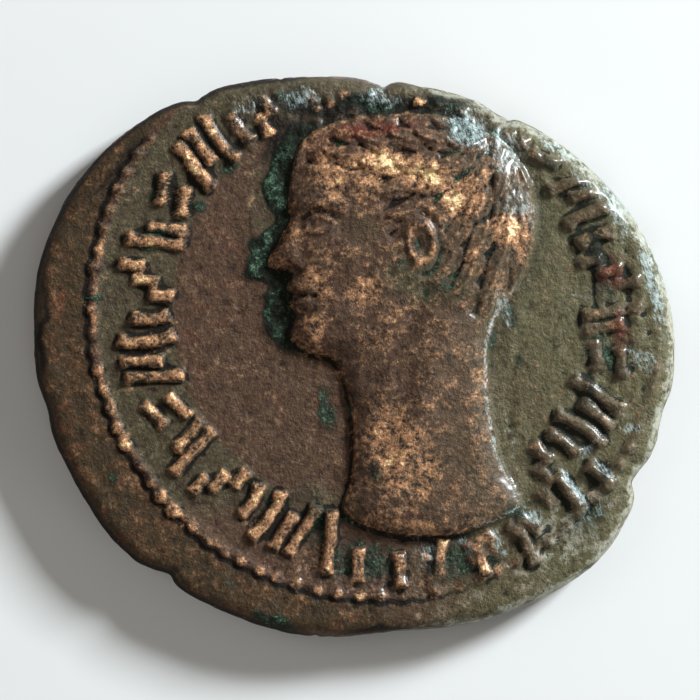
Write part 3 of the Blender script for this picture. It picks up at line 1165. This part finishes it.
def coin_object(parts, faces, material):
    """The object of the coin, with its marks as attributes of its points."""
    points = np.concatenate([part_points for part_points, _ in parts]) * MM
    every_face = [face for some in faces for face in some.tolist()]
    piece = new_piece("struck_coin", points.tolist(), every_face, material)
    for name in MARKS:
        values = np.concatenate([marks.get(name, np.zeros(len(part_points))) for part_points, marks in parts])
        layer = piece.data.attributes.new(name, "FLOAT", "POINT")
        layer.data.foreach_set("value", values.astype(np.float32))
    piece.data.polygons.foreach_set("use_smooth", np.ones(len(piece.data.polygons), bool))
    piece.data.update()
    return piece


# Places of a Mix node's sockets for colours, and how far each grain's pattern is moved
MIX_COLOUR_INPUTS = (0, 6, 7)
MIX_COLOUR_OUTPUT = 2
GRAIN_SHIFT = (0.013, 0.007)
SPECK_SHIFT = (0.022, 0.034, 0)
GRAIN_CONTRAST = 2.2


class Socket:
    """A shader value that sums are written with."""

    def __init__(self, tree, socket):
        self.tree = tree
        self.socket = socket

    def node(self, kind, settings=None, **values):
        """A new node of a kind, with its settings set first and then its sockets."""
        made = self.tree.nodes.new("ShaderNode" + kind)
        for name, value in (settings or {}).items():
            setattr(made, name, value)
        for name, value in values.items():
            wanted = name.replace("_", " ")
            target = next(s for s in made.inputs if s.name == wanted and s.enabled)
            self.feed(target, value)
        return made

    def feed(self, target, value):
        """A link or a plain value into a socket."""
        if isinstance(value, Socket):
            self.tree.links.new(value.socket, target)
        else:
            target.default_value = value

    def sum(self, operation, *values):
        """A Math node over this value and others."""
        made = self.node("Math", {"operation": operation})
        for target, value in zip(made.inputs, values):
            self.feed(target, value)
        return Socket(self.tree, made.outputs[0])

    def __add__(self, other):
        return self.sum("ADD", self, other)

    def __radd__(self, other):
        return self.sum("ADD", other, self)

    def __sub__(self, other):
        return self.sum("SUBTRACT", self, other)

    def __rsub__(self, other):
        return self.sum("SUBTRACT", other, self)

    def __mul__(self, other):
        return self.sum("MULTIPLY", self, other)

    def __rmul__(self, other):
        return self.sum("MULTIPLY", other, self)

    def most(self, other):
        """The larger of two values."""
        return self.sum("MAXIMUM", self, other)

    def eased(self, low, high):
        """An easing from 0 to 1 as the value goes from low to high."""
        made = self.node("MapRange", {"interpolation_type": "SMOOTHSTEP"}, Value=self, From_Min=low,
                         From_Max=high)
        return Socket(self.tree, made.outputs["Result"])

    def blend(self, first, second, share, way="MIX"):
        """A colour between two others by a share, or the first multiplied by the second."""
        made = self.node("Mix", {"data_type": "RGBA", "blend_type": way})
        for number, value in zip(MIX_COLOUR_INPUTS, (share, first, second)):
            self.feed(made.inputs[number], value)
        return Socket(self.tree, made.outputs[MIX_COLOUR_OUTPUT])

    def tinted(self, colour, share):
        """This colour turned to another by a share."""
        return self.blend(self, colour, share)

    def shaded(self, amount):
        """This colour made darker or lighter by a factor."""
        grey = self.node("CombineColor", Red=amount, Green=amount, Blue=amount)
        return self.blend(self, Socket(self.tree, grey.outputs[0]), 1, "MULTIPLY")

    def grain(self, size, detail=2.0, roughness=0.5, seed=0, stretch=(1, 1, 1), turn=0):
        """Soft chance grain of a size in millimetres, from about 0 to 1, drawn out along a turned line."""
        moved = self.node("Mapping", {"vector_type": "TEXTURE"}, Vector=self,
                          Location=(seed * GRAIN_SHIFT[0], seed * GRAIN_SHIFT[1], 0), Rotation=(0, 0, turn),
                          Scale=stretch)
        made = self.node("TexNoise", {"noise_dimensions": "3D"}, Scale=1 / (size * MM), Detail=detail,
                         Roughness=roughness)
        self.tree.links.new(moved.outputs[0], made.inputs["Vector"])
        return (Socket(self.tree, made.outputs["Fac"]) - 0.5) * GRAIN_CONTRAST + 0.5

    def specks(self, size):
        """Distance from the nearest of scattered points, in shares of a size in millimetres."""
        moved = self.node("Mapping", Vector=self, Location=SPECK_SHIFT)
        made = self.node("TexVoronoi", Scale=1 / (size * MM))
        self.tree.links.new(moved.outputs[0], made.inputs["Vector"])
        return Socket(self.tree, made.outputs["Distance"])


# A screen's own curve: its brightest value, where it bends, its slope below that, its lift and its power
SCREEN_WHITE = 255
SCREEN_BEND = 0.04045
SCREEN_SLOPE = 12.92
SCREEN_LIFT = 0.055
SCREEN_POWER = 2.4


def light_of(value):
    """The light of a screen value from 0 to 255."""
    share = value / SCREEN_WHITE
    if share <= SCREEN_BEND:
        return share / SCREEN_SLOPE
    return ((share + SCREEN_LIFT) / (1 + SCREEN_LIFT)) ** SCREEN_POWER


def colour(red, green, blue):
    """A colour named by its screen values, as the shader wants it."""
    return light_of(red), light_of(green), light_of(blue), 1


PURPLE_BROWN = colour(80, 58, 43)
REDDISH_BROWN = colour(92, 52, 40)
OLIVE = colour(92, 86, 60)
DARK_BROWN = colour(36, 26, 18)
RIM_BROWN = colour(56, 44, 24)
RIM_ORANGE = colour(104, 62, 32)
WARM_BLACK = colour(16, 10, 6)
CRUST = colour(12, 19, 10)
DEEP_GREEN = colour(12, 24, 15)
VERDIGRIS = colour(43, 60, 43)
PALE_VERDIGRIS = colour(100, 124, 104)
PALE_EDGE = colour(168, 168, 152)
OXIDE = colour(92, 34, 20)
TAN_BROWN = colour(132, 98, 70)
SHEEN = colour(176, 192, 190)
COPPER = colour(180, 130, 92)
GOLD = colour(244, 214, 160)
GREY_BROWN = colour(112, 94, 70)
GREEN_HAZE = colour(68, 66, 46)

# Grains of the skin: size in millimetres, detail, roughness, seed, and for brushing its stretch and turn
GRAINS = {
    "broad": (3.2, 3, 0.55, 1), "medium": (1.0, 4, 0.6, 2), "fine": (0.36, 4, 0.7, 3),
    "dust": (0.16, 3, 0.8, 4), "brushed": (0.1, 3, 0.65, 5, (3.5, 1, 1), -1.2), "crumbly": (0.22, 3, 0.6, 7)}
# Sums of marks and grains: how much each one weighs, and where the sum starts to count and is full
OLIVE_TURN = 7
OLIVE_SIDE = {"across": 1 / (OLIVE_TURN * MM), "broad": 0.7}, (0.45, 1.65)
CRUSTED = {"sunk": 1.15, "medium": 0.2, "fine": 0.3}, (0.52, 1.07)
# Layers of colour, each over the last: its name and colour, its sum, its strength, and what limits it
BROWN_LAYERS = (
    ("reddish", REDDISH_BROWN, {"broad": 0.4, "medium": 0.6}, (0.5, 0.85), 0.7, "brown_side"),
    ("hazy", GREEN_HAZE, {"haze": 0.9, "medium": 0.5, "fine": 0.3}, (0.6, 1.3), 0.8, None),
    ("rim_brown", RIM_BROWN, {"rim": 1.1, "medium": 0.4}, (0.4, 1.1), 0.75, None),
    ("rim_orange", RIM_ORANGE, {"rim": 0.5, "medium": 0.5, "fine": 0.3}, (0.85, 1.15), 0.6, None),
    ("pale_edge", PALE_EDGE, {"pale": 0.8, "medium": 0.7, "fine": 0.6}, (1.15, 1.65), 0.8, None),
    ("greyish", GREY_BROWN, {"medium": 0.35, "dust": 0.35, "fine": 0.4}, (0.55, 0.95), 0.8, None),
    ("darkened", DARK_BROWN, {"fine": 0.6, "medium": 0.4}, (0.45, 0.1), 0.8, None),
    ("oxidised", OXIDE, {"oxide": 0.8, "medium": 0.3, "fine": 0.35}, (0.6, 1.1), 0.75, None))
CRUST_STRENGTH = 0.93
GREEN_LAYERS = (
    ("greened", DEEP_GREEN, {"green": 1.1, "fine": 0.45, "medium": 0.25}, (0.75, 1.4), 0.85, None),
    ("verdigris", VERDIGRIS, {"green": 0.9, "dust": 0.5, "fine": 0.7}, (1.15, 1.6), 0.9, None),
    ("powdery", PALE_VERDIGRIS, {"green": 0.7, "dust": 0.8, "fine": 0.2}, (1.15, 1.5), 0.75, None))
# How far each mark bares the metal, the grains that break it up, and what is taken off
BARING = {"gold": 0.76, "copper": 0.5, "worn": 0.62}
RUBBED_GRAIN = {"bared": 1, "fine": 0.56, "dust": 0.4, "medium": 0.54}
RUBBED_LEAST = 0.8
BARED_FADE = (0.15, 0.45)
SHEEN_FADE = (0.05, 0.5)
RUBBED_LAYERS = (
    ("tan", TAN_BROWN, {"rubbed": 1}, (0.16, 0.5), 0.8, None),
    ("grimy", DARK_BROWN, {"fine": 0.6, "dust": 0.4}, (0.5, 0.22), 0.85, "on_bared"),
    ("coppery", COPPER, {"rubbed": 1}, (0.36, 0.7), 0.95, None),
    ("golden", GOLD, {"rubbed": 1}, (0.64, 0.88), 0.92, None),
    ("shining", SHEEN, {"sheen": 0.6, "brushed": 0.6, "fine": 0.5}, (0.8, 1.3), 0.6, "on_sheen"))
SHADE = {"dust": 0.6, "brushed": 0.25, "fine": 0.4}
SHADE_LEAST = 0.36
BUMP_GRAIN = {"fine": 0.7, "dust": 0.4, "brushed": 0.1, "specked": 0.3}
SPECK_SIZE = 0.4
SPECK_EDGE = (0, 0.3)
BUMP_HEIGHT = 0.07
# How brown keeps from turning olive where the metal is warm, and how far green keeps it from being rubbed
WARM_HOLD = 0.6
GREEN_HOLD = 0.6
METALLIC = {"coppery": 0.25, "golden": 0.25}
LEAST_METALLIC = 0.03
ROUGHNESS = {"fine": 0.1, "coppery": -0.08, "greened": 0.15, "crusted": 0.2, "gloss": -0.14}
PLAIN_ROUGHNESS = 0.52
COAT = {"gloss": 0.5, "shining": 0.5}
LEAST_COAT = 0.04
GREEN_MATT = 0.5
CRUST_MATT = 0.8
CRUMBLING = {"greened": 0.4, "eaten": 0.8}


def marks_and_grains(start):
    """The marks of the coin and the grains of its skin, by their names."""
    place = Socket(start.tree, start.node("TexCoord").outputs["Object"])
    of = {name: place.grain(*grain) for name, grain in GRAINS.items()}
    for name in MARKS:
        found = start.node("Attribute", {"attribute_name": name, "attribute_type": "GEOMETRY"})
        of[name] = Socket(start.tree, found.outputs["Fac"])
    of["across"] = Socket(start.tree, start.node("SeparateXYZ", Vector=place).outputs["X"])
    of["specked"] = place.specks(SPECK_SIZE).eased(*SPECK_EDGE)
    return of


def weighed(of, weights):
    """Some marks and grains added up, each as much as it weighs."""
    terms = [of[name] if weight == 1 else of[name] * weight for name, weight in weights.items()]
    total = terms[0]
    for term in terms[1:]:
        total = total + term
    return total


def layered(of, body, layers):
    """A colour with layers laid over it; each layer's share is kept by its name."""
    for name, tint, weights, fade, strength, limit in layers:
        share = weighed(of, weights).eased(*fade)
        of[name] = share * of[limit] if limit else share
        body = body.tinted(tint, of[name] * strength)
    return body


def patina_colour(start, of):
    """Brown turning olive to the right, then crust in the hollows, green over it, and rubbed bare highs."""
    weights, fade = OLIVE_SIDE
    of["olive_side"] = weighed(of, weights).eased(*fade)
    of["brown_side"] = 1 - of["olive_side"]
    body = start.blend(PURPLE_BROWN, OLIVE, of["olive_side"] * (1 - of["warm"] * WARM_HOLD))
    body = layered(of, body, BROWN_LAYERS)

    weights, fade = CRUSTED
    of["crusted"] = weighed(of, weights).eased(*fade)
    crust = start.blend(WARM_BLACK, CRUST, of["green"].most(of["olive_side"]))
    body = body.tinted(crust, of["crusted"] * CRUST_STRENGTH)
    body = layered(of, body, GREEN_LAYERS)

    gold, copper, worn = (of[name] * share for name, share in BARING.items())
    of["bared"] = gold.most(copper).most(worn)
    of["on_bared"] = of["bared"].eased(*BARED_FADE)
    of["on_sheen"] = of["sheen"].eased(*SHEEN_FADE)
    of["rubbed"] = (weighed(of, RUBBED_GRAIN) - RUBBED_LEAST) * (1 - of["greened"] * GREEN_HOLD)
    body = layered(of, body, RUBBED_LAYERS)
    return body.shaded(weighed(of, SHADE) + SHADE_LEAST)


def patinated_bronze():
    """Bronze under an old patina, its gloss and its fine relief."""
    material = bpy.data.materials.new("patinated_bronze")
    material.use_nodes = True
    tree = material.node_tree
    tree.nodes.clear()
    start = Socket(tree, None)
    of = marks_and_grains(start)
    body = patina_colour(start, of)
    of["gloss"] = of["olive_side"].most(of["eaten"])
    metallic = weighed(of, METALLIC) + LEAST_METALLIC
    roughness = weighed(of, ROUGHNESS) + PLAIN_ROUGHNESS
    matt = (1 - of["greened"] * GREEN_MATT) * (1 - of["crusted"] * CRUST_MATT) * (1 - of["pale"])
    coat = (weighed(of, COAT) + LEAST_COAT) * matt
    relief = weighed(of, BUMP_GRAIN) + weighed(of, CRUMBLING) * of["crumbly"]
    bump = start.node("Bump", Strength=0.8, Distance=BUMP_HEIGHT * MM, Height=relief)
    shader = start.node("BsdfPrincipled", Base_Color=body, Metallic=metallic, Roughness=roughness, IOR=1.45,
                        Specular_IOR_Level=0.22, Coat_Weight=coat, Coat_Roughness=0.22,
                        Normal=Socket(tree, bump.outputs[0]))
    output = start.node("OutputMaterial")
    tree.links.new(shader.outputs[0], output.inputs["Surface"])
    return material


# The floor: half its side in metres, its gap under the coin in millimetres, its shade and roughness
FLOOR_HALF = 1.5
FLOOR_GAP = 0.02
FLOOR_PALE = colour(226, 224, 220)
FLOOR_ROUGHNESS = 0.7


def plain_material(name, shade, roughness):
    """A plain matt finish for the floor."""
    material = bpy.data.materials.new(name)
    material.use_nodes = True
    shader = material.node_tree.nodes["Principled BSDF"]
    shader.inputs["Base Color"].default_value = shade
    shader.inputs["Roughness"].default_value = roughness
    return material


def floor():
    """A plain pale floor just under the coin."""
    half, level = FLOOR_HALF, -FLOOR_GAP * MM
    corners = [(-half, -half, level), (half, -half, level), (half, half, level), (-half, half, level)]
    finish = plain_material("pale_floor", FLOOR_PALE, FLOOR_ROUGHNESS)
    new_piece("floor", corners, [(0, 1, 2, 3)], finish)


# What the camera sees, in millimetres: the middle of its view, the view's width, its height over the field,
# its sensor's width, and in metres the nearest and farthest that it sees
VIEW_MIDDLE = (-0.18, 0.29)
VIEW_WIDTH = 31.53
CAMERA_RISE = 300
SENSOR = 36
CLIP = (0.01, 10)
# Square lights: azimuth and elevation in degrees, distance and size in metres, power and colour
LIGHTS = {
    "key": (36, 24, 0.42, 0.09, 4.2, (0.86, 0.94, 1.0)),
    "fill_left": (165, 42, 0.5, 0.35, 0.35, (1.0, 0.95, 0.88)),
    "fill_front": (270, 55, 0.6, 0.5, 0.3, (1.0, 0.98, 0.95)),
    "edge_light": (322, 9, 0.5, 0.16, 0.5, (0.92, 1.0, 0.96))}
SKY = (0.98, 0.98, 1.0, 1)
SKY_STRENGTH = 0.14


def camera():
    """A long lens that looks straight down on the coin."""
    data = bpy.data.cameras.new("camera")
    data.sensor_width = SENSOR
    data.lens = SENSOR * CAMERA_RISE / VIEW_WIDTH
    data.clip_start, data.clip_end = CLIP
    held = bpy.data.objects.new("camera", data)
    held.location = (VIEW_MIDDLE[0] * MM, VIEW_MIDDLE[1] * MM, (CAMERA_RISE + FIELD_Z) * MM)
    bpy.context.collection.objects.link(held)
    bpy.context.scene.camera = held


def soft_light(name, azimuth, elevation, distance, size, power, tint):
    """A square light that faces the coin from an azimuth and elevation in degrees."""
    data = bpy.data.lights.new(name, "AREA")
    data.shape, data.size = "SQUARE", size
    data.energy, data.color = power, tint
    lamp = bpy.data.objects.new(name, data)
    turn, lift = math.radians(azimuth), math.radians(elevation)
    lamp.location = (distance * math.cos(lift) * math.cos(turn), distance * math.cos(lift) * math.sin(turn),
                     distance * math.sin(lift))
    lamp.rotation_euler = (0, math.pi / 2 - lift, turn)
    bpy.context.collection.objects.link(lamp)


def studio():
    """Soft studio light: a cool key from the upper right, low fills and a pale sky."""
    for name, light in LIGHTS.items():
        soft_light(name, *light)
    world = bpy.data.worlds.new("studio")
    world.use_nodes = True
    sky = world.node_tree.nodes["Background"]
    sky.inputs["Color"].default_value = SKY
    sky.inputs["Strength"].default_value = SKY_STRENGTH
    bpy.context.scene.world = world
    bpy.context.scene.view_settings.view_transform = "Standard"


coin = struck_coin(patinated_bronze())
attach(coin, "root")
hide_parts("coin")
floor()
camera()
studio()
